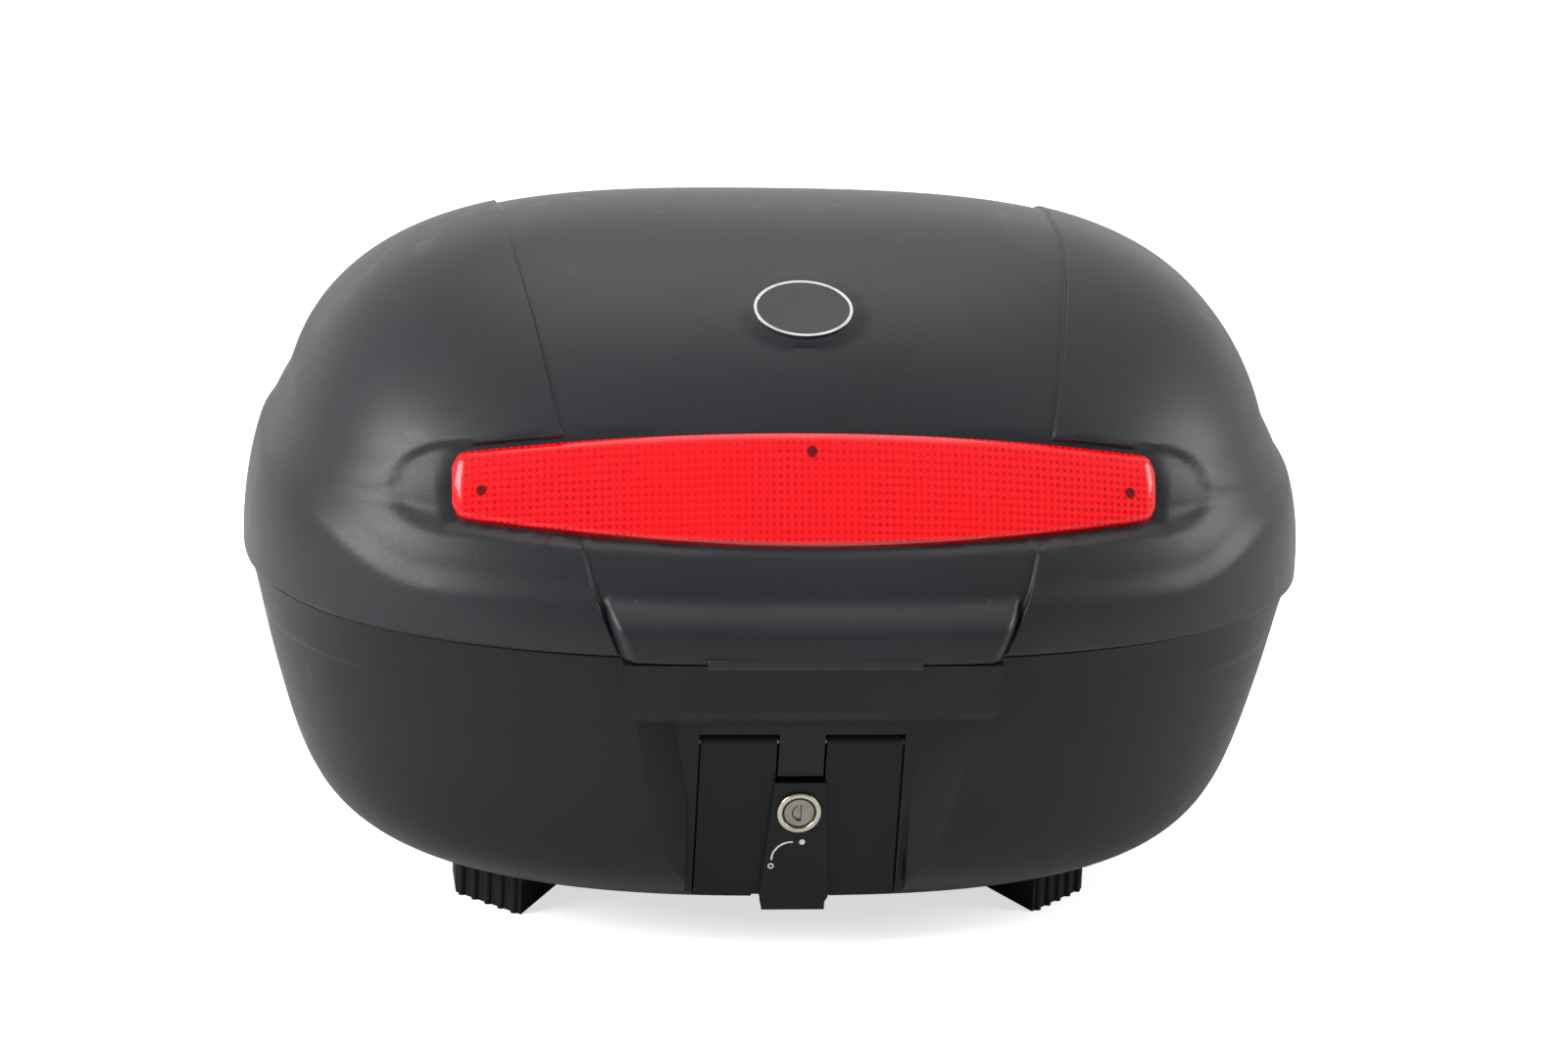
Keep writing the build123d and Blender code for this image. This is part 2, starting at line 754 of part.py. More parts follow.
def key_shutter():
    """Small dust plate inside the mouth of the key slot."""
    face = rib_face() - bezel_height + rotor_recess + shutter_depth
    half_width = key_slot_width / 2 - shutter_clearance
    half_height = key_slot_height / 2 - shutter_clearance
    return in_flap(block(-half_width, half_width, face, face + shutter_thickness,
                         -lock_drop - half_height, -lock_drop + half_height))


def lock_nut():
    ring = RegularPolygon(nut_radius, 6)
    nut = extrude(Plane.XZ * ring, amount=-nut_thickness)
    nut = Pos(0, flap_back, -lock_drop) * nut
    nut -= rod(barrel_radius + rotor_clearance, 0, big / 8, 0, -lock_drop)
    return in_flap(nut)


def lock_cam():
    """Arm on the rotor's end; its pin passes over the strike's foot when the lock is turned."""
    back = rotor_end + cam_thickness
    cam = rod(cam_hub_radius, rotor_end, back, 0, -lock_drop)
    cam += block(0, cam_reach, rotor_end, back, -lock_drop - cam_half_width,
                 -lock_drop + cam_half_width)
    cam += rod(cam_half_width, rotor_end, back, cam_reach, -lock_drop)
    cam += rod(cam_pin_radius, back, back + cam_pin_length, cam_reach, -lock_drop)
    cam -= rod(cam_screw_radius + screw_clearance, rotor_end - 1, back + 1, 0, -lock_drop)
    return in_flap(cam)


def cam_screw():
    seat = rotor_end + cam_thickness
    screw = rod(cam_screw_head_radius, seat, seat + cam_screw_head, 0, -lock_drop)
    screw += rod(cam_screw_radius, rotor_end - screw_grip + 1, seat, 0, -lock_drop)
    return in_flap(screw)


# ---- strike and its screws ---------------------------------------------------------------
def strike_screw_places():
    y = (strike_tab_front + strike_tab_back) / 2
    return [(0.0, y), (strike_tab_half_width - screw_head_radius - screw_clearance, y)]


def lid_strike():
    """Hook that hangs from the lid's underside into the lock box."""
    back = strike_front + strike_thickness
    rise = parting_height - flap_axis_z + 4
    leg = block(-strike_leg_outer, -strike_leg_inner, strike_front, back,
                -strike_foot_drop - strike_foot_height, rise)
    foot = block(-strike_leg_outer, strike_toe, strike_front, back,
                 -strike_foot_drop - strike_foot_height, -strike_foot_drop)
    hook = in_flap(leg + foot) & block(-big, big, -big, big, 0.0, parting_height)
    tab = block(-strike_tab_half_width, strike_tab_half_width, strike_tab_front,
                strike_tab_back, parting_height - strike_thickness, parting_height)
    strike = hook + tab
    for x, y in strike_screw_places():
        strike -= upright_rod(screw_radius + screw_clearance, 0, big, x, y)
    return strike


def strike_screws():
    seat = parting_height - strike_thickness
    length = strike_thickness + screw_grip - screw_clearance
    return Compound([screw_upright(x, y, seat, False, length) for x, y in strike_screw_places()])


# ---- lock box cover, feet, claws, mat ----------------------------------------------------
def box_cover():
    low = parting_height - bowl_depth + floor_wall + mat_thickness + mat_gap
    high = parting_height - parting_gap - rim_height
    cover = block(-box_half_width, box_half_width, box_back, box_back + box_cover_thickness,
                  low, high)
    for x, z in box_screw_places():
        cover -= rod(screw_radius + screw_clearance, box_back, box_back + box_cover_thickness, x, z)
    return cover


def box_screws():
    seat = box_back + box_cover_thickness
    length = box_cover_thickness + screw_grip
    return Compound([screw_along_y(x, seat, z, 1, length) for x, z in box_screw_places()])


def foot(sx, sy):
    """Wedge-shaped block with upright ribs on its slanted outer face."""
    outline = [foot_apex, foot_outer, (foot_outer[0], foot_back_y), (foot_inner[0], foot_back_y),
               foot_inner]
    face = make_face(Polyline(*[(x, y, 0) for x, y in outline], close=True))
    body = extrude(face, amount=foot_height, dir=(0, 0, 1))
    for i in range(foot_rib_count):
        share = (i + 0.5) / foot_rib_count
        x = foot_apex[0] + share * (foot_outer[0] - foot_apex[0])
        y = foot_apex[1] + share * (foot_outer[1] - foot_apex[1])
        body += upright_rod(foot_rib_radius, 0.0, foot_height, x, y)
    well = foot_height - floor_wall
    body -= upright_rod(screw_head_radius + 1, 0.0, well, foot_screw_x, foot_screw_y)
    body -= upright_rod(screw_radius + screw_clearance, 0.0, foot_height,
                        foot_screw_x, foot_screw_y)
    if sx < 0:
        body = body.mirror(Plane.YZ)
    if sy < 0:
        body = body.mirror(Plane.XZ)
    return body


def foot_screws():
    seat = foot_height - floor_wall
    length = 2 * floor_wall
    return Compound([screw_upright(sx * foot_screw_x, sy * foot_screw_y, seat, False, length)
                     for sx, sy in foot_places()])


def rack_claw():
    """Hook under the back of the case that slides over a rack tube from behind."""
    underside = parting_height - bowl_depth
    outer = tube_radius + claw_wall
    centre_z = underside - outer
    ring = cross_rod(outer, -claw_half_width, claw_half_width, claw_centre_y, centre_z)
    jaw = block(-claw_half_width, claw_half_width, claw_centre_y, claw_centre_y + claw_lip,
                centre_z - outer, underside)
    front = claw_centre_y - tube_radius - 2 * claw_plate_half_length
    plate = block(-claw_half_width, claw_half_width, front, claw_centre_y,
                  underside - claw_plate, underside)
    bore = cross_rod(tube_radius, -claw_half_width, claw_half_width, claw_centre_y, centre_z)
    mouth = block(-claw_half_width, claw_half_width, claw_centre_y,
                  claw_centre_y + claw_lip, centre_z - tube_radius, centre_z + tube_radius)
    claw = ring + jaw + plate - bore - mouth
    return claw


def rack_claws():
    claws = []
    for side in (-1, 1):
        claw = Pos(side * claw_x, 0, 0) * rack_claw()
        for x, y in claw_screw_places():
            claw -= upright_rod(screw_radius + screw_clearance, 0.0, big, x, y)
        claws.append(claw)
    return Compound(claws)


def claw_screws():
    seat = parting_height - bowl_depth - claw_plate
    length = claw_plate + floor_wall
    return Compound([screw_upright(x, y, seat, False, length) for x, y in claw_screw_places()])


def floor_mat():
    """Loose rubber mat on the floor of the lower shell."""
    floor = bowl_size(wall, floor_wall, bowl_depth - floor_wall)
    outline = plan_face(*[half - mat_inset for half in floor],
                        parting_height - bowl_depth + floor_wall)
    mat = extrude(outline, amount=mat_thickness, dir=(0, 0, 1))
    reach = box_back + box_cover_thickness + screw_head_height + mat_gap
    return mat - block(-box_half_width - mat_gap, box_half_width + mat_gap, -big, reach, 0, big)


def save(name, part):
    export_step(part, f"parts/{name}.step")


def main():
    os.makedirs("parts", exist_ok=True)
    save("lower_shell", lower_shell())
    save("lid_shell", lid_shell())
    save("rim_seal", rim_seal())
    save("reflector_lens", reflector_lens())
    save("reflector_tray", reflector_tray())
    save("reflector_screws", reflector_screws())
    save("badge_plate", badge_plate())
    save("badge_rim", badge_rim())
    save("hinge_leaves_lower", hinge_leaves(False))
    save("hinge_leaves_upper", hinge_leaves(True))
    save("hinge_pins", hinge_pins())
    save("hinge_screws_lower", hinge_screws(False))
    save("hinge_screws_upper", hinge_screws(True))
    save("latch_flap", latch_flap())
    save("hinge_cover", hinge_cover())
    save("flap_pin", flap_pin())
    save("tongue_hook", tongue_hook())
    save("lock_barrel", lock_barrel())
    save("lock_bezel", lock_bezel())
    save("lock_rotor", lock_rotor())
    save("key_shutter", key_shutter())
    save("lock_nut", lock_nut())
    save("lock_cam", lock_cam())
    save("cam_screw", cam_screw())
    save("lid_strike", lid_strike())
    save("strike_screws", strike_screws())
    save("box_cover", box_cover())
    save("box_screws", box_screws())
    for (sx, sy), name in zip(foot_places(), ("front_left", "front_right",
                                              "back_left", "back_right")):
        save(f"foot_{name}", foot(sx, sy))
    save("foot_screws", foot_screws())
    save("rack_claws", rack_claws())
    save("claw_screws", claw_screws())
    save("floor_mat", floor_mat())


main()
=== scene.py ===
import math

import bpy
from mathutils import Matrix, Vector


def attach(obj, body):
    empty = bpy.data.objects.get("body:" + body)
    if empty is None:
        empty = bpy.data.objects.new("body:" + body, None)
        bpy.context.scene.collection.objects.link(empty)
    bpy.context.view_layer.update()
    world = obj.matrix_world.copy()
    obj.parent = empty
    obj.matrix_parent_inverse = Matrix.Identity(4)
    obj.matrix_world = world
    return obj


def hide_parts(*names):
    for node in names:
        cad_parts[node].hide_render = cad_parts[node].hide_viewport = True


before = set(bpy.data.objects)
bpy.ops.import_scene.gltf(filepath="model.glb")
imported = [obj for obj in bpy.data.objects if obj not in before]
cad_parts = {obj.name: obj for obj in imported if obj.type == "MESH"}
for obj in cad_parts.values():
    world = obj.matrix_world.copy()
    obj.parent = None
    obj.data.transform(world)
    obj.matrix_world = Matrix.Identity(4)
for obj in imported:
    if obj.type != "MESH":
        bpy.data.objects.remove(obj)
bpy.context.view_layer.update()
scene = bpy.context.scene
scene.view_settings.view_transform = "Standard"
mm = 0.001  # places and sizes of pieces are in millimetres


# materials, built from small sums on the outputs of nodes
class Reading:  # one output of a node, which can be used in plain arithmetic
    def __init__(self, finish, socket):
        self.finish, self.socket = finish, socket

    def math(self, operation, first, second=0.0):
        return self.finish.node("ShaderNodeMath", {"operation": operation}, {0: first, 1: second})

    def __add__(self, other):
        return self.math("ADD", self, other)

    def __radd__(self, other):
        return self.math("ADD", other, self)

    def __sub__(self, other):
        return self.math("SUBTRACT", self, other)

    def __rsub__(self, other):
        return self.math("SUBTRACT", other, self)

    def __mul__(self, other):
        return self.math("MULTIPLY", self, other)

    def __rmul__(self, other):
        return self.math("MULTIPLY", other, self)

    def __truediv__(self, other):
        return self.math("DIVIDE", self, other)

    def __rtruediv__(self, other):
        return self.math("DIVIDE", other, self)

    def __pow__(self, other):
        return self.math("POWER", self, other)

    def fraction(self):
        return self.math("FRACT", self)

    def size(self):
        return self.math("ABSOLUTE", self)

    def between(self, low, high):  # soft step from 0 at low to 1 at high
        return self.finish.node("ShaderNodeMapRange", {"interpolation_type": "SMOOTHSTEP"},
                                {"Value": self, "From Min": low, "From Max": high})


class Finish:
    def __init__(self, name, **constants):
        self.material = bpy.data.materials.new(name)
        self.material.use_nodes = True
        self.tree = self.material.node_tree
        self.shader = self.tree.nodes["Principled BSDF"]
        for words, value in constants.items():
            self.feed(words.replace("_", " "), value)

    def node(self, kind, settings=None, inputs=None, output=0):
        made = self.tree.nodes.new(kind)
        for key, value in (settings or {}).items():
            setattr(made, key, value)
        for key, value in (inputs or {}).items():
            self.join(value, made.inputs[key])
        return Reading(self, made.outputs[output])

    def join(self, value, socket):
        if isinstance(value, Reading):
            self.tree.links.new(value.socket, socket)
        else:
            socket.default_value = value

    def feed(self, socket, value):
        self.join(value, self.shader.inputs[socket])

    def place(self, kind="Object"):
        return self.node("ShaderNodeTexCoord", output=kind)

    def noise(self, scale, detail, stretch=(1, 1, 1)):  # scale is in patterns per metre
        spot = self.place()
        if stretch != (1, 1, 1):
            spot = self.node("ShaderNodeMapping", None, {"Vector": spot, "Scale": stretch})
        return self.node("ShaderNodeTexNoise", None,
                         {"Vector": spot, "Scale": scale, "Detail": detail})

    def mix(self, amount, first, second):
        return self.node("ShaderNodeMix", {"data_type": "RGBA"},
                         {0: amount, 6: first, 7: second}, 2)

    def rounded(self, radius):  # normal of the piece with its edges eased
        return self.node("ShaderNodeBevel", {"samples": 6}, {"Radius": radius})

    def edges(self, radius):  # 1 along sharp edges, 0 on flat faces
        face = self.node("ShaderNodeNewGeometry", output="Normal")
        dot = self.node("ShaderNodeVectorMath", {"operation": "DOT_PRODUCT"},
                        {0: self.rounded(radius), 1: face}, "Value")
        return (1 - dot).between(0.01, 0.12)

    def bump(self, height, strength, distance, normal=None):
        inputs = {"Height": height, "Strength": strength, "Distance": distance}
        if normal:
            inputs["Normal"] = normal
        self.feed("Normal", self.node("ShaderNodeBump", None, inputs))


def tone(red, green, blue):  # display values from 0 to 255
    return [*(((c / 255 + 0.055) / 1.055) ** 2.4 for c in (red, green, blue)), 1]


# moulded plastics: grain is in bumps per metre, depth and ease are in metres
plasticValues = {
    "lidPlastic": {"dark": tone(25, 26, 29), "light": tone(36, 37, 41), "rough": 0.4,
                   "shine": 0.34, "grain": 900, "depth": 0.00012, "strength": 0.6,
                   "ease": 0.0012},
    "shellPlastic": {"dark": tone(18, 19, 19), "light": tone(27, 27, 28), "rough": 0.42,
                     "shine": 0.24, "grain": 1100, "depth": 0.00008, "strength": 0.4,
                     "ease": 0.0014},
    "flapPlastic": {"dark": tone(13, 14, 15), "light": tone(20, 21, 22), "rough": 0.4,
                    "shine": 0.22, "grain": 1300, "depth": 0.00006, "strength": 0.4,
                    "ease": 0.0009},
    "coverPlastic": {"dark": tone(14, 15, 16), "light": tone(21, 22, 23), "rough": 0.44,
                     "shine": 0.3, "grain": 1200, "depth": 0.00008, "strength": 0.4,
                     "ease": 0.0006},
    "trayPlastic": {"dark": tone(48, 8, 10), "light": tone(70, 12, 15), "rough": 0.4,
                    "shine": 0.36, "grain": 1200, "depth": 0.00005, "strength": 0.3,
                    "ease": 0.0005},
    "clawPlastic": {"dark": tone(24, 24, 26), "light": tone(34, 34, 37), "rough": 0.5,
                    "shine": 0.3, "grain": 1000, "depth": 0.0001, "strength": 0.5,
                    "ease": 0.0008},
}
# the edge tone lightens sharp edges: partly edge wear, partly a painted highlight
wearAndHighlightValues = {  # shared by all moulded plastics
    "cloudScale": 7, "cloudShare": 0.6, "coarseScale": 0.37, "fineShare": 0.6,
    "rubbedScale": 46, "scuffScale": 60, "scuffStretch": (1, 6, 22), "lighter": 1.5,
    "edgeWearAndHighlight": 0.45, "scuffTone": 0.1, "grainRough": 0.16, "rubbedRough": 0.07,
    "edgeRough": 0.06, "scuffRough": 0.05,
}
beltValues = {"foot": 0.1435, "head": 0.1475, "from": 0.185, "to": 0.235, "depth": 1.5 * mm}


def belt(finish):  # 1 above the soft step that runs round the sides of the lower shell
    v = beltValues
    x, z = [finish.node("ShaderNodeSeparateXYZ", None, {0: finish.place()}, axis)
            for axis in (0, 2)]
    return z.between(v["foot"], v["head"]) * x.size().between(v["from"], v["to"])


def plastic(name):
    v, wear = plasticValues[name], wearAndHighlightValues
    finish = Finish(name, IOR=1.45, Specular_IOR_Level=v["shine"])
    cloud = finish.noise(wear["cloudScale"], 3).between(0.3, 0.7)
    fine = finish.noise(v["grain"], 2)
    coarse = finish.noise(v["grain"] * wear["coarseScale"], 2)
    rubbed = finish.noise(wear["rubbedScale"], 5).between(0.56, 0.74)
    scuffs = finish.noise(wear["scuffScale"], 3, wear["scuffStretch"]).between(0.68, 0.76)
    edge = finish.edges(v["ease"])
    worn = [c * wear["lighter"] for c in v["light"][:3]] + [1]
    colour = finish.mix(cloud * wear["cloudShare"] + fine * (1 - wear["cloudShare"]),
                        v["dark"], v["light"])
    # lighter along sharp edges: partly edge wear, partly a painted highlight
    colour = finish.mix(edge * wear["edgeWearAndHighlight"], colour, worn)
    finish.feed("Base Color", finish.mix(scuffs * wear["scuffTone"], colour, worn))
    finish.feed("Roughness", v["rough"] + (fine - 0.5) * wear["grainRough"]
                - rubbed * wear["rubbedRough"] - edge * wear["edgeRough"]
                + scuffs * wear["scuffRough"])
    relief = fine * wear["fineShare"] + coarse * (1 - wear["fineShare"])
    if name == "shellPlastic":
        relief = relief + belt(finish) * (beltValues["depth"] / v["depth"])
    finish.bump(relief, v["strength"], v["depth"], finish.rounded(v["ease"]))
    return finish.material


# metals: brush stretches the scratches to one side, and ease is in metres
metalValues = {
    "nickel": {"colour": tone(186, 180, 164), "rough": 0.22, "brush": (1, 1, 1), "ease": 0.0004},
    "rotorMetal": {"colour": tone(138, 134, 128), "rough": 0.34, "brush": (1, 1, 8),
                   "ease": 0.0004},
    "brightTrim": {"colour": tone(150, 151, 153), "rough": 0.2, "brush": (1, 1, 1),
                   "ease": 0.0004},
    "steel": {"colour": tone(158, 160, 163), "rough": 0.32, "brush": (1, 1, 14), "ease": 0.0004},
    "darkSteel": {"colour": tone(52, 53, 56), "rough": 0.36, "brush": (1, 1, 1), "ease": 0.0003},
}


metalWear = {"scratchScale": 260, "smudgeScale": 120, "grain": 2200, "dull": 0.72,
             "smudgeTone": 0.5, "scratchRough": 0.22, "smudgeRough": 0.1}


def metal(name):
    v, wear = metalValues[name], metalWear
    finish = Finish(name, Metallic=1.0)
    scratches = finish.noise(wear["scratchScale"], 4, v["brush"])
    smudge = finish.noise(wear["smudgeScale"], 3).between(0.45, 0.75)
    fine = finish.noise(wear["grain"], 2)
    dull = [c * wear["dull"] for c in v["colour"][:3]] + [1]
    finish.feed("Base Color", finish.mix(smudge * wear["smudgeTone"], v["colour"], dull))
    finish.feed("Roughness", v["rough"] + (scratches - 0.5) * wear["scratchRough"]
                + smudge * wear["smudgeRough"])
    finish.bump(scratches * 0.5 + fine * 0.5, 0.25, 0.00003, finish.rounded(v["ease"]))
    return finish.material


# rubbers, with a little dust on them
rubberValues = {
    "footRubber": {"dark": tone(11, 11, 12), "light": tone(21, 21, 22), "rough": 0.6,
                   "grain": 1500},
    "sealRubber": {"dark": tone(18, 18, 19), "light": tone(27, 27, 28), "rough": 0.62,
                   "grain": 1800},
}
dustTone = tone(84, 82, 78)


def rubber(name):
    v = rubberValues[name]
    finish = Finish(name, Specular_IOR_Level=0.2)
    cloud = finish.noise(38, 4)
    fine = finish.noise(v["grain"], 2)
    dust = finish.noise(210, 5).between(0.55, 0.8)
    colour = finish.mix(cloud * 0.5 + fine * 0.5, v["dark"], v["light"])
    colour = finish.mix(dust * 0.16, colour, dustTone)
    finish.feed("Base Color", colour)
    finish.feed("Roughness", v["rough"] + dust * 0.14 + (fine - 0.5) * 0.2)
    finish.bump(fine, 0.4, 0.0001, finish.rounded(0.0006))
    return finish.material


matValues = {"dark": tone(22, 22, 24), "light": tone(40, 40, 43), "pitch": 6 * mm,
             "studEdge": (0.36, 0.26), "grain": 1400}


def matRubber():  # round studs in rows
    v = matValues
    finish = Finish("matRubber")
    spot = finish.place()
    parts = [finish.node("ShaderNodeSeparateXYZ", None, {0: spot}, axis) for axis in (0, 1)]
    across, along = [((part / v["pitch"]).fraction() - 0.5) for part in parts]
    stud = ((across ** 2 + along ** 2) ** 0.5).between(*v["studEdge"])
    fine = finish.noise(v["grain"], 2)
    finish.feed("Base Color", finish.mix(stud * 0.6 + fine * 0.4, v["dark"], v["light"]))
    finish.feed("Roughness", 0.58 + (fine - 0.5) * 0.2 - stud * 0.08)
    finish.bump(stud + fine * 0.1, 0.8, 0.0006)
    return finish.material


# the lens: prisms in arched rows behind a clear front, with the heads of three screws dimly
# seen through it. Places are in metres on the UV map, and the dot edges are shares of the pitch
lensValues = {
    "red": tone(247, 10, 22), "shade": tone(150, 1, 9), "bright": tone(255, 40, 46),
    "lip": tone(120, 4, 10), "dim": tone(58, 4, 8), "glow": 0.1, "pitch": 3.5 * mm,
    "dotEdge": (0.4, 0.2), "facetEdge": (0.1, 0.9), "screws": [(0.162, -0.0027), (0.0, 0.0086)],
    "screwEdge": (0.00297, 0.002295), "screwShare": 0.9,
}


def redLens():
    v = lensValues
    # painted glow: the lens gives off a faint red light of its own, set by glow as Emission
    # Strength
    finish = Finish("redLens", IOR=1.45, Specular_IOR_Level=0.2, Coat_Roughness=0.03,
                    Emission_Strength=v["glow"])
    spot = finish.place("UV")
    u, w = [finish.node("ShaderNodeSeparateXYZ", None, {0: spot}, axis) for axis in (0, 1)]
    across, along = [(part / v["pitch"]).fraction() - 0.5 for part in (u, w)]
    dot = ((across ** 2 + along ** 2) ** 0.5).between(*v["dotEdge"])
    facet = (across.size() + along.size()).between(*v["facetEdge"])
    cloud = finish.noise(9, 2).between(0.35, 0.65)
    spark = finish.noise(520, 1).between(0.4, 0.7)
    colour = finish.mix(facet * 0.25, v["red"], v["bright"])
    colour = finish.mix(dot * (0.6 + cloud * 0.4) * (0.6 + spark * 0.4), colour, v["shade"])
    heads = 0.0
    for side, up in v["screws"]:
        far = ((u.size() - side) ** 2 + (w - up) ** 2) ** 0.5
        heads = far.between(*v["screwEdge"]) + heads
    hidden = heads * v["screwShare"]
    finish.feed("Base Color", finish.mix(hidden, colour, v["dim"]))
    # painted glow colour: red, darker at the dots and at the screw heads
    glow = finish.mix(dot * 0.6, v["red"], v["shade"])
    finish.feed("Emission Color", finish.mix(hidden, glow, v["dim"]))
    finish.feed("Roughness", 0.16 + finish.noise(60, 4) * 0.1)
    finish.feed("Coat Weight", 0.25 + finish.noise(30, 2) * 0.15)
    finish.bump(dot + facet * 0.4, 0.2, 0.0002, finish.rounded(0.0008))
    return finish.material


def lensEdge():  # solid red plastic of the lens's rim and lower edge
    v = lensValues
    finish = Finish("lensEdge", IOR=1.55, Coat_Roughness=0.04)
    streak = finish.noise(80, 3)
    finish.feed("Base Color", finish.mix(streak, v["lip"], v["shade"]))
    finish.feed("Roughness", 0.14 + streak * 0.12)
    finish.feed("Coat Weight", 0.8 + streak * 0.2)
    return finish.material


badgeTones = (tone(18, 19, 21), tone(40, 42, 46))
markTones = (tone(214, 214, 210), tone(176, 176, 173))


def badgeFace():
    finish = Finish("badgeFace", Specular_IOR_Level=0.3, Coat_Roughness=0.1)
    fine = finish.noise(1600, 2)
    cloud = finish.noise(60, 3)
    finish.feed("Base Color", finish.mix(cloud * 0.5 + fine * 0.5, *badgeTones))
    finish.feed("Roughness", 0.3 + fine * 0.16)
    finish.feed("Coat Weight", 0.06 + cloud * 0.1)
    finish.bump(fine, 0.2, 0.00004)
    return finish.material


def markPaint():
    finish = Finish("markPaint")
    worn = finish.noise(900, 3).between(0.35, 0.75)
    finish.feed("Base Color", finish.mix(worn, *markTones))
    finish.feed("Roughness", 0.5 + worn * 0.15)
    return finish.material


finishes = {name: plastic(name) for name in plasticValues}
finishes |= {name: metal(name) for name in metalValues}
finishes |= {name: rubber(name) for name in rubberValues}
finishes |= {"matRubber": matRubber(), "redLens": redLens(), "lensEdge": lensEdge(),
             "badgeFace": badgeFace(), "markPaint": markPaint()}

# which CAD nodes have which finish
nodeFinish = {
    "lidPlastic": ["lid_shell"],
    "shellPlastic": ["lower_shell", "box_cover"],
    "flapPlastic": ["latch_flap"],
    "coverPlastic": ["hinge_cover"],
    "clawPlastic": ["rack_claws"],
    "trayPlastic": ["reflector_tray"],
    "lensEdge": ["reflector_lens"],
    "sealRubber": ["rim_seal"],
    "footRubber": ["foot_front_left", "foot_front_right", "foot_back_left", "foot_back_right"],
    "matRubber": ["floor_mat"],
    "badgeFace": ["badge_plate"],
    "brightTrim": ["badge_rim"],
    "nickel": ["lock_bezel", "lock_barrel"],
    "rotorMetal": ["lock_rotor", "key_shutter"],
    "steel": ["lock_nut", "lock_cam", "cam_screw", "lid_strike", "strike_screws", "tongue_hook",
              "hinge_pins", "flap_pin", "hinge_screws_upper", "hinge_screws_lower"],
    "darkSteel": ["reflector_screws", "box_screws", "foot_screws", "claw_screws",
                  "hinge_leaves_upper", "hinge_leaves_lower"],
}


def dress(piece, *names):
    piece.data.materials.clear()
    for name in names:
        piece.data.materials.append(finishes[name])


for finishName, nodeNames in nodeFinish.items():
    for nodeName in nodeNames:
        dress(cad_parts[nodeName], finishName)
print("materials done")


# mesh helpers
def start():
    if bpy.context.object and bpy.context.object.mode != "OBJECT":
        bpy.ops.object.mode_set(mode="OBJECT")
    bpy.ops.object.select_all(action="DESELECT")


def gridPiece(name, columns, rows, spot):  # spot(i, j) gives each point in millimetres
    start()
    bpy.ops.mesh.primitive_grid_add(x_subdivisions=columns - 1, y_subdivisions=rows - 1, size=2)
    piece = bpy.context.object
    piece.name = piece.data.name = name
    for vertex in piece.data.vertices:
        i = round((vertex.co.x + 1) / 2 * (columns - 1))
        j = round((vertex.co.y + 1) / 2 * (rows - 1))
        vertex.co = Vector(spot(i, j)) * mm
    return piece


def apply(piece, kind, **settings):
    start()
    bpy.context.view_layer.objects.active = piece
    piece.select_set(True)
    modifier = piece.modifiers.new(kind.lower(), kind)
    for key, value in settings.items():
        setattr(modifier, key, value)
    bpy.ops.object.modifier_apply(modifier=modifier.name)


def outward(piece, merge=1e-5):
    start()
    bpy.context.view_layer.objects.active = piece
    piece.select_set(True)
    bpy.ops.object.mode_set(mode="EDIT")
    bpy.ops.mesh.select_all(action="SELECT")
    bpy.ops.mesh.remove_doubles(threshold=merge)
    bpy.ops.mesh.normals_make_consistent(inside=False)
    bpy.ops.object.mode_set(mode="OBJECT")


def faceFront(piece):  # for a flat piece
    if sum(face.normal.y for face in piece.data.polygons) > 0:
        piece.data.flip_normals()


def smooth(piece, degrees=35):
    start()
    bpy.context.view_layer.objects.active = piece
    piece.select_set(True)
    bpy.ops.object.shade_smooth_by_angle(angle=math.radians(degrees))


def barPiece(name, low, high, bevel, finish):  # block between two corners, in millimetres
    start()
    middle = [(a + b) / 2 * mm for a, b in zip(low, high)]
    bpy.ops.mesh.primitive_cube_add(size=1, location=middle)
    piece = bpy.context.object
    piece.name = piece.data.name = name
    piece.scale = [(b - a) * mm for a, b in zip(low, high)]
    bpy.ops.object.transform_apply(location=True, rotation=True, scale=True)
    apply(piece, "BEVEL", width=bevel * mm, segments=3)
    smooth(piece)
    dress(piece, finish)
    return piece


def softStep(low, high, value):
    share = min(1, max(0, (value - low) / (high - low)))
    return share * share * (3 - 2 * share)


def along(points, value):  # straight lines between (value, result) pairs
    for (a, low), (b, high) in zip(points, points[1:]):
        if value <= b:
            return low + (high - low) * max(0, value - a) / (b - a)
    return points[-1][1]


# lid: sizes are in millimetres and heights are above the parting line
lidValues = {
    "parting": 172.0, "height": 185.0, "halfWidth": 260.0, "front": 194.0, "back": 206.0,
    "sidePower": 3.2, "frontPower": 2.2, "backPower": 2.1,
    "sideBelt": 14.5, "sideBeltHeight": 82.0, "frontBelt": 20.0, "frontBeltHeight": 62.0,
    "planPower": 2.5, "planFuller": 0.5, "fullerHeight": 74.0, "fullerSpread": 52.0,
    "seam": [(0, 94), (31, 107.5), (53, 113.5), (99, 122), (150, 134), (185, 145)],
    "panelSunk": 1.7, "groove": 3.0, "grooveTop": 1.8, "grooveEase": 0.6, "wall": 3.0,
}
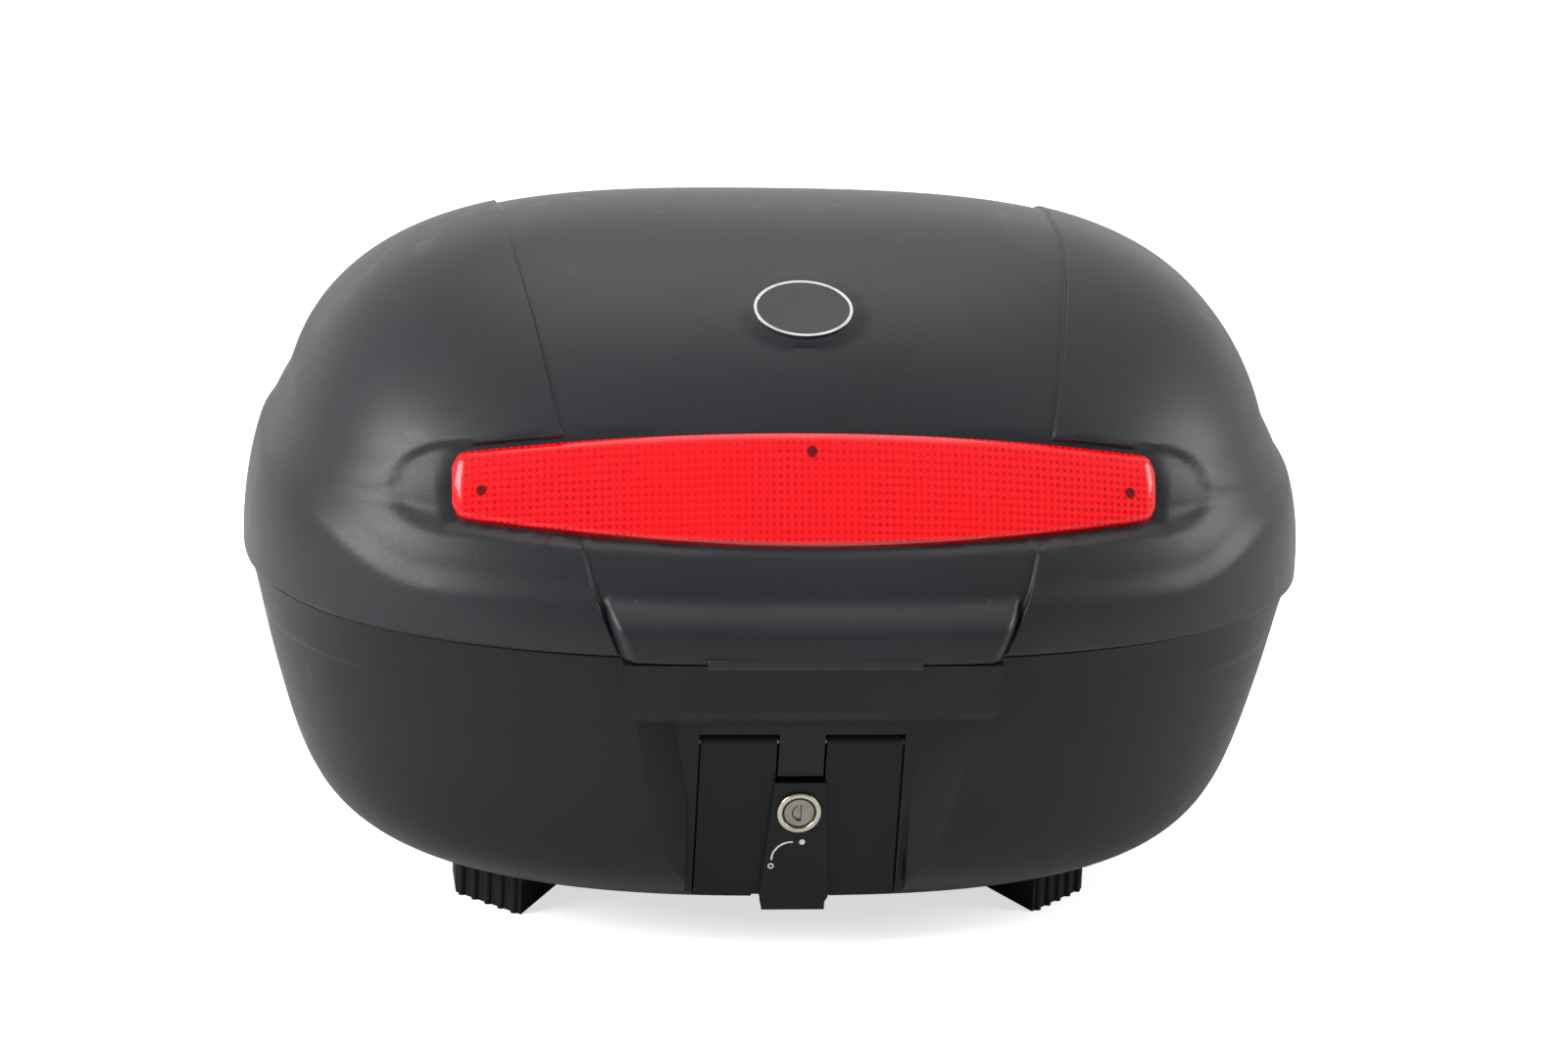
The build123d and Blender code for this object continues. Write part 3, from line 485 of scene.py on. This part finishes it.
# the lid's mesh: rows fan out over the lid, and the groove adds rows at the foot
lidMesh = {"panelColumns": 88, "seamCrowding": 0.84, "seamProbe": 110.0, "sideColumns": 56,
           "seamStep": 0.004, "frontRows": 118, "backRows": 56, "reach": 1.6, "halvings": 30,
           "crease": 32}
lensShape = {"y": -180.5, "z": 254.0, "lean": 24.0, "bow": 700.0, "half": 176.0, "end": 33.0,
             "rise": 7.5, "drop": 17.0, "thick": 5.0, "crown": 2.0, "bevel": 2.6,
             "bevelReach": 4.0, "bevelPower": 1.6, "corner": 7.0, "darkEdge": 1.4,
             "columns": 140, "rows": 24, "crease": 40}
badgeSeat = {"rise": 153.5, "halfWidth": 25.0, "halfHeight": 11.78, "proud": 0.2,
             "edge": (1.1, 1.24)}
shoulderValues = {"lift": 2.4, "front": 31.0, "side": 62.0, "turn": (190, 268), "below": 8.0,
                  "above": 6.0}
pocketValues = {"depth": 1.7, "reach": 30.0, "from": 110.0, "to": 225.0, "above": 4.5,
                "below": 1.0, "spread": (115, 170), "deepen": (120, 165), "upperEase": (0, 2.4),
                "lowerEase": (-6, 4), "endDepth": 0.4}
blockValues = {"front": 222.4, "half": 94.0, "bow": 3.5, "lean": 2.0, "leanHeight": 24.0,
               "shoulder": 13.0, "top": 44.0, "margin": 2.0, "fall": 30.0, "round": 7.0,
               "roundShare": 0.8}
seatValues = {"gap": 3.4, "margin": 6.0, "ease": (0.4, 4.6)}  # where the lens sits
hingeSeat = {"y": 203.0, "top": 60.0, "flat": 42.0, "slope": 0.4}


def lidSizes(h):  # half width, front, back and roundness of the lid's plan at one height
    v = lidValues
    q = min(1, h / v["height"])
    side = v["halfWidth"] * (1 - q ** v["sidePower"]) ** (1 / v["sidePower"])
    front = v["front"] * (1 - q ** v["frontPower"]) ** (1 / v["frontPower"])
    back = v["back"] * (1 - q ** v["backPower"]) ** (1 / v["backPower"])
    side += v["sideBelt"] * max(0, 1 - (h / v["sideBeltHeight"]) ** 2)
    front += v["frontBelt"] * max(0, 1 - (h / v["frontBeltHeight"]) ** 2)
    power = v["planPower"] + v["planFuller"] * math.exp(
        -((h - v["fullerHeight"]) / v["fullerSpread"]) ** 2)
    return side, front, back, power


def lidOutside(x, y, h):  # above 0 outside the lid's plain form
    side, front, back, power = lidSizes(h)
    depth = front if y < 0 else back
    if h >= lidValues["height"] or side < 1e-6 or depth < 1e-6:
        return 1.0
    return (abs(x) / side) ** power + (abs(y) / depth) ** power - 1


def lidReach(x, angle):  # point of the lid at one x, in a direction seen from the side
    v = lidValues
    toY = -math.cos(angle) * (v["front"] + v["frontBelt"] if math.cos(angle) > 0 else v["back"])
    toH = math.sin(angle) * v["height"]
    low, high = 0.0, lidMesh["reach"]
    for _ in range(lidMesh["halvings"]):
        middle = (low + high) / 2
        if lidOutside(x, middle * toY, middle * toH) > 0:
            high = middle
        else:
            low = middle
    return low * toY, low * toH


def lensBow(x):  # how far the lens's face falls back at x
    return lensShape["bow"] - math.sqrt(lensShape["bow"] ** 2 - x ** 2)


def lensFace(x, up):  # point of the lens's bowed face, square on at x and up
    lean = math.radians(lensShape["lean"])
    return Vector((x, lensShape["y"] + lensBow(x) * math.cos(lean) + up * math.sin(lean),
                   lensShape["z"] - lensBow(x) * math.sin(lean) + up * math.cos(lean)))


def lensEdges(x):  # lower and upper edge of the lens, square on
    s = lensShape
    share = 1 - (x / s["half"]) ** 2
    near = max(0, s["corner"] - (s["half"] - abs(x)))
    cut = s["corner"] - math.sqrt(max(0, s["corner"] ** 2 - near ** 2))
    return -s["end"] / 2 - s["drop"] * share + cut, s["end"] / 2 + s["rise"] * share - cut


def lensUp(x, z):  # how high a point lies on the lens's face
    lean = math.radians(lensShape["lean"])
    return (z - lensShape["z"] + lensBow(x) * math.sin(lean)) / math.cos(lean)


def lensPlace(x, h):  # the same for a height above the parting line, with the edges there
    return (lensUp(x, lidValues["parting"] + h),
            *lensEdges(min(abs(x), lensShape["half"] - lensShape["corner"])))


def lidSeam(y, h):  # half width of the middle panel
    return along(lidValues["seam"], h) if y < 0 else lidValues["seam"][-1][1]


def panelLift(x, y, h):  # the middle panel is sunk, but not round the badge
    sunk, seat = lidValues["panelSunk"], badgeSeat
    if y >= 0:
        return -sunk
    oval = math.hypot(x / seat["halfWidth"], (h - seat["rise"]) / seat["halfHeight"])
    return (sunk + seat["proud"]) * (1 - softStep(*seat["edge"], oval)) - sunk


def sideLift(x, h):  # shoulder of the side panels, and the groove at their foot
    v, s = lidValues, shoulderValues
    ridge = s["front"] + (s["side"] - s["front"]) * softStep(*s["turn"], abs(x))
    shoulder = s["lift"] * (1 - softStep(ridge - s["below"], ridge + s["above"], h))
    return shoulder - v["groove"] * (
        1 - softStep(v["grooveTop"] - v["grooveEase"], v["grooveTop"], h))


def pocketLift(x, h):  # pocket round each end of the lens
    p = pocketValues
    up, low, high = lensPlace(x, h)
    past = max(0.0, abs(x) - lensShape["half"]) / p["reach"]
    opening = math.sqrt(max(0.0, 1 - past ** 2))
    centre = (high + low) / 2
    above = p["above"] * softStep(*p["spread"], abs(x))
    upper = centre + (high + above - centre) * opening
    lower = centre + (low - p["below"] - centre) * opening
    inside = softStep(*p["upperEase"], upper - up) * softStep(*p["lowerEase"], up - lower)
    depth = p["depth"] * softStep(*p["deepen"], abs(x))
    return -depth * inside * (p["endDepth"] + (1 - p["endDepth"]) * opening)


def lidRelief(inPanel, x, y, h):  # how far the skin stands out from the plain form
    lift = panelLift(x, y, h) if inPanel else sideLift(x, h)
    if y < 0 and pocketValues["from"] < abs(x) < pocketValues["to"]:
        lift += pocketLift(x, h)
    return lift


def blockFace(x, y, h):  # the lid's half of the handle block, where it stands out further
    b = blockValues
    turned = max(0, 1 - (lidSeam(y, h) - abs(x)) / b["round"])
    rounding = (b["front"] + y) * (1 - math.sqrt(max(0, 1 - turned ** 2))) * b["roundShare"]
    face = b["bow"] * (x / b["half"]) ** 2 - b["front"] + b["lean"] * softStep(
        0, b["leanHeight"], h)
    fall = b["fall"] * softStep(b["shoulder"], b["top"], h)
    return min(y, face + fall + max(0, rounding))


def lensSeat(x, y, h):  # flat behind the lens, eased into the lid round it
    up, low, high = lensPlace(x, h)
    past = max(low - up, up - high, abs(x) - lensShape["half"])
    seat = max(y, lensFace(x, up).y + seatValues["gap"])
    return y + (seat - y) * (1 - softStep(*seatValues["ease"], past))


def lidPoint(s, outer, angle):  # s runs from -1 to 1 over the middle panel
    v = lidValues
    seam = lidSeam(*lidReach(lidMesh["seamProbe"], angle))
    edge = v["halfWidth"] + v["sideBelt"]
    if abs(s) <= 1:
        x = s * seam
    else:
        x = math.copysign(seam + (edge - seam) * math.sin(outer * math.pi / 2), s)
    if outer >= 1:
        return x, 0.0, 0.0
    return x, *lidReach(x, angle)


def lidColumns():  # (s, outer) pairs; outer is the share of a side panel, where s is past 1
    m = lidMesh
    turn = m["seamCrowding"] * math.pi / 2
    inner = [math.sin(turn * (2 * i / m["panelColumns"] - 1)) / math.sin(turn)
             for i in range(m["panelColumns"] + 1)]
    shares = [m["seamStep"]] + [i / m["sideColumns"] for i in range(1, m["sideColumns"] + 1)]
    return ([(-2, share) for share in reversed(shares)] + [(s, 0.0) for s in inner]
            + [(2, share) for share in shares])


def lidRows():  # angles from the front edge over the roof to the back edge
    v, m = lidValues, lidMesh
    front = [math.pi / 2 * (i / m["frontRows"]) for i in range(m["frontRows"])]
    back = [math.pi / 2 * (1 + i / m["backRows"]) for i in range(m["backRows"] + 1)]
    foot = [(v["grooveTop"] - ease) / v["height"] for ease in (v["grooveEase"], 0)]
    return sorted(front + back + foot + [math.pi - angle for angle in foot])


def makeLid():
    columns, rows = lidColumns(), lidRows()
    plain = [[Vector(lidPoint(s, outer, angle)) for s, outer in columns] for angle in rows]

    def normal(i, j):
        a, b = plain[j][max(0, i - 2)], plain[j][min(len(columns) - 1, i + 2)]
        c, d = plain[max(0, j - 1)][i], plain[min(len(rows) - 1, j + 1)][i]
        out = (b - a).cross(d - c)
        return out.normalized() if out.length > 1e-9 else Vector((0, 0, 1))

    def spot(i, j):
        x, y, h = plain[j][i]
        inPanel = abs(columns[i][0]) <= 1
        if 0 < i < len(columns) - 1:
            x, y, h = plain[j][i] + normal(i, j) * lidRelief(inPanel, x, y, h)
        if j in (0, len(rows) - 1):
            h = 0.0
        if y < 0 and inPanel and h < blockValues["top"] + blockValues["margin"]:
            y = blockFace(x, y, h)
        if y < 0 and abs(x) < lensShape["half"] + seatValues["margin"]:
            y = lensSeat(x, y, h)
        if y > 0 and h < hingeSeat["top"]:
            y = min(y, hingeSeat["y"] + max(0, h - hingeSeat["flat"]) * hingeSeat["slope"])
        return x, y, lidValues["parting"] + h

    lid = gridPiece("lidSkin", len(columns), len(rows), spot)
    outward(lid)
    apply(lid, "SOLIDIFY", thickness=lidValues["wall"] * mm, offset=-1)
    smooth(lid, lidMesh["crease"])
    dress(lid, "lidPlastic")
    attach(lid, "lid")
    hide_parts("lid_shell")


makeLid()
print("lid done")


# the lens of the reflector
def makeLens():
    s = lensShape
    lean = math.radians(s["lean"])

    def spot(i, j):
        x = -s["half"] + 2 * s["half"] * i / (s["columns"] - 1)
        low, high = lensEdges(x)
        share = (1 - math.cos(math.pi * j / (s["rows"] - 1))) / 2
        up = low + (high - low) * share
        edge = min(s["half"] - abs(x), (high - low) / 2 - abs(up - (high + low) / 2))
        crown = s["crown"] * (1 - (2 * share - 1) ** 2) - s["bevel"] * (
            1 - min(1, edge / s["bevelReach"])) ** s["bevelPower"]
        return lensFace(x, up) + Vector((0, -math.cos(lean), math.sin(lean))) * crown

    lens = gridPiece("lensFace", s["columns"], s["rows"], spot)
    layer = lens.data.uv_layers.active
    for loop in lens.data.loops:
        x, _, z = lens.data.vertices[loop.vertex_index].co / mm
        up = lensUp(x, z)
        low, high = lensEdges(max(-s["half"], min(s["half"], x)))
        arch = s["rise"] * (1 - (x / s["half"]) ** 2) * (up - low) / (high - low)
        layer.data[loop.index].uv = (x * mm, (up - arch) * mm)
    outward(lens)
    faceFront(lens)
    dress(lens, "redLens", "lensEdge")
    for face in lens.data.polygons:
        x, _, z = face.center / mm
        if lensUp(x, z) - lensEdges(x)[0] < s["darkEdge"]:
            face.material_index = 1
    apply(lens, "SOLIDIFY", thickness=s["thick"] * mm, offset=-1, material_offset_rim=1)
    smooth(lens, s["crease"])
    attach(lens, "lid")
    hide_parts("reflector_lens")


makeLens()
print("lens done")


# plain bars on the lid: its lip over the handle, and the screw bosses inside it
barValues = {  # two corners, and how far the edges are rounded
    "lidLip": ((-53.0, -222.9, 169.4), (53.0, -220.6, 174.5), 0.7),
    "strikeBoss": ((-32.0, -206.0, 175.2), (32.0, -143.0, 184.0), 1.5),
    "hingeBossLeft": ((-104.0, 191.5, 174.5), (-36.0, 200.5, 212.0), 1.5),
    "hingeBossRight": ((36.0, 191.5, 174.5), (104.0, 200.5, 212.0), 1.5),
}
for barName, (low, high, bevel) in barValues.items():
    bar = barPiece(barName, low, high, bevel, "lidPlastic")
    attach(bar, "lid")


# flap: marks beside the lock, which are a plain arc with a dot and a ring. Places on the
# flap's face are right of the lock and above it, and angles are in degrees
flapFace = {"axisY": -177.0, "axisZ": 118.0, "lean": 10.0, "drop": 36.5, "face": 8.0}
markValues = {"thick": 0.2, "proud": 0.08,
              "arc": {"centre": (-2.5, -27.5), "radii": (9.55, 10.45), "turn": (88, 182)},
              "dot": {"centre": (2.6, -17.6), "radii": (0.05, 1.5), "turn": (0, 360)},
              "ring": {"centre": (-12.6, -31.4), "radii": (0.9, 1.6), "turn": (0, 360)}}


def flapPlace(x, z, proud):
    v = flapFace
    lean = math.radians(v["lean"])
    out = -v["face"] - proud
    up = z - v["drop"]
    return Vector((x, v["axisY"] + out * math.cos(lean) - up * math.sin(lean),
                   v["axisZ"] + out * math.sin(lean) + up * math.cos(lean)))


def flatMark(name, mark, steps, proud, finish):
    def spot(i, j):
        first, last = mark["turn"]
        turn = math.radians(first + (last - first) * i / (steps - 1))
        return flapPlace(mark["centre"][0] + mark["radii"][j] * math.cos(turn),
                         mark["centre"][1] + mark["radii"][j] * math.sin(turn), proud)

    piece = gridPiece(name, steps, 2, spot)
    outward(piece)
    faceFront(piece)
    apply(piece, "SOLIDIFY", thickness=markValues["thick"] * mm, offset=-1)
    dress(piece, finish)
    return piece


for markName, kind, steps in (("markArc", "arc", 24), ("markDot", "dot", 25),
                              ("markRing", "ring", 25)):
    mark = flatMark(markName, markValues[kind], steps, markValues["proud"], "markPaint")
    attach(mark, "flap")


# lock: rolled ring round the rotor, and a dark crescent on the key's shutter that is painted
# shade for the recess beside the keyway
lockValues = {"steps": 72, "crease": 50,  # the ring's section is radius and height
              "ring": [(11.4, -0.2), (11.4, 1.2), (11.1, 1.8), (10.5, 2.15), (9.6, 2.2),
                       (8.9, 2.05), (8.5, 1.6), (8.3, 0.3), (7.6, 0.3), (7.6, -0.2)]}
keywayShadeValues = {"centre": (0.9, 0.0), "radii": (3.9, 4.6), "turn": (118, 242), "steps": 24,
              "proud": 1.3}


def makeRing(v):
    def spot(i, j):
        turn = 2 * math.pi * i / (v["steps"] - 1)
        radius, proud = v["ring"][j]
        return flapPlace(radius * math.cos(turn), radius * math.sin(turn), proud)

    ring = gridPiece("lockRing", v["steps"], len(v["ring"]), spot)
    outward(ring)
    apply(ring, "SUBSURF", levels=1, render_levels=1)
    smooth(ring, v["crease"])
    dress(ring, "nickel")
    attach(ring, "flap")
    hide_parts("lock_bezel")


makeRing(lockValues)
# painted shade: a thin dark steel crescent stands for the shadow in the recess beside the keyway
keywayShade = flatMark("keywayShadeArc", keywayShadeValues, keywayShadeValues["steps"], keywayShadeValues["proud"], "darkSteel")
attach(keywayShade, "key")
print("small pieces done")


# studio: lamps are a name, a place, a size in metres and a power in watts
studioValues = {
    "floorSize": 8, "floorTones": (tone(246, 246, 246), tone(250, 250, 250)), "lift": 0.66,
    "ambient": 0.34, "frontGloss": 0.4, "sideGloss": 1.15, "glossEdge": (-0.95, 0.0),
    "aim": (0, 0, 0.15),
    "lamps": [("key", (-2.0, -0.8, 1.25), 1.2, 64), ("fill", (2.1, -0.4, 1.1), 1.0, 30),
              ("top", (0.0, 0.6, 2.6), 1.8, 18)]}


class Backdrop(Finish):  # the world's background, worked out like a material
    def __init__(self, world):
        world.use_nodes = True
        self.tree = world.node_tree
        self.shader = self.tree.nodes["Background"]


def makeFloor(v):
    start()
    bpy.ops.mesh.primitive_plane_add(size=v["floorSize"])
    floor = bpy.context.object
    floor.name = "studioFloor"
    paint = Finish("floorPaint", Roughness=0.9, Specular_IOR_Level=0.0)
    paint.feed("Base Color", paint.mix(paint.noise(3, 2), *v["floorTones"]))
    seen = paint.node("ShaderNodeLightPath", output="Is Camera Ray")
    glow = paint.node("ShaderNodeEmission", None,
                      {"Color": (1, 1, 1, 1), "Strength": seen * v["lift"]})
    both = paint.node("ShaderNodeAddShader", None,
                      {0: Reading(paint, paint.shader.outputs[0]), 1: glow})
    paint.join(both, paint.tree.nodes["Material Output"].inputs["Surface"])
    floor.data.materials.append(paint.material)


def makeLamps(v):
    for name, spot, size, power in v["lamps"]:
        data = bpy.data.lights.new(name, "AREA")
        data.size = size
        data.energy = power
        lamp = bpy.data.objects.new(name, data)
        scene.collection.objects.link(lamp)
        lamp.location = spot
        lamp.rotation_euler = (Vector(v["aim"]) - Vector(spot)).to_track_quat(
            "-Z", "Y").to_euler()
        lamp.visible_camera = False


def makeWorld(v):  # white where the camera sees it, and dimmer in front of the case
    scene.world = bpy.data.worlds.new("studio")
    back = Backdrop(scene.world)
    back.feed("Color", (1, 1, 1, 1))
    seen, mirrored = [back.node("ShaderNodeLightPath", output=kind)
                      for kind in ("Is Camera Ray", "Is Glossy Ray")]
    away = back.node("ShaderNodeSeparateXYZ", None, {0: back.place("Generated")}, 1)
    gloss = v["frontGloss"] + away.between(*v["glossEdge"]) * (v["sideGloss"] - v["frontGloss"])
    around = mirrored * gloss + (1 - mirrored) * v["ambient"]
    back.feed("Strength", seen + (1 - seen) * around)


makeFloor(studioValues)
makeLamps(studioValues)
makeWorld(studioValues)


# camera: a long lens a little to the left of the case and above it
cameraValues = {"lens": 112.4, "sensor": 36, "azimuth": 7.0, "elevation": 16.12, "roll": 2.16,
                "distance": 2.6027, "aside": 0.0088, "height": 0.18, "clip": (0.05, 50)}


def makeCamera(c):
    data = bpy.data.cameras.new("camera")
    data.lens = c["lens"]
    data.sensor_width = c["sensor"]
    data.clip_start, data.clip_end = c["clip"]
    camera = bpy.data.objects.new("camera", data)
    scene.collection.objects.link(camera)
    azimuth, elevation = math.radians(c["azimuth"]), math.radians(c["elevation"])
    forward = Vector((math.sin(azimuth) * math.cos(elevation),
                      math.cos(azimuth) * math.cos(elevation), -math.sin(elevation)))
    right = Vector((math.cos(azimuth), -math.sin(azimuth), 0))
    target = Vector((0, 0, c["height"])) + right * c["aside"]
    camera.location = target - forward * c["distance"]
    turn = forward.to_track_quat("-Z", "Y").to_matrix() @ Matrix.Rotation(
        math.radians(c["roll"]), 3, "Z")
    camera.rotation_mode = "QUATERNION"
    camera.rotation_quaternion = turn.to_quaternion()
    scene.camera = camera


makeCamera(cameraValues)
print("scene done")
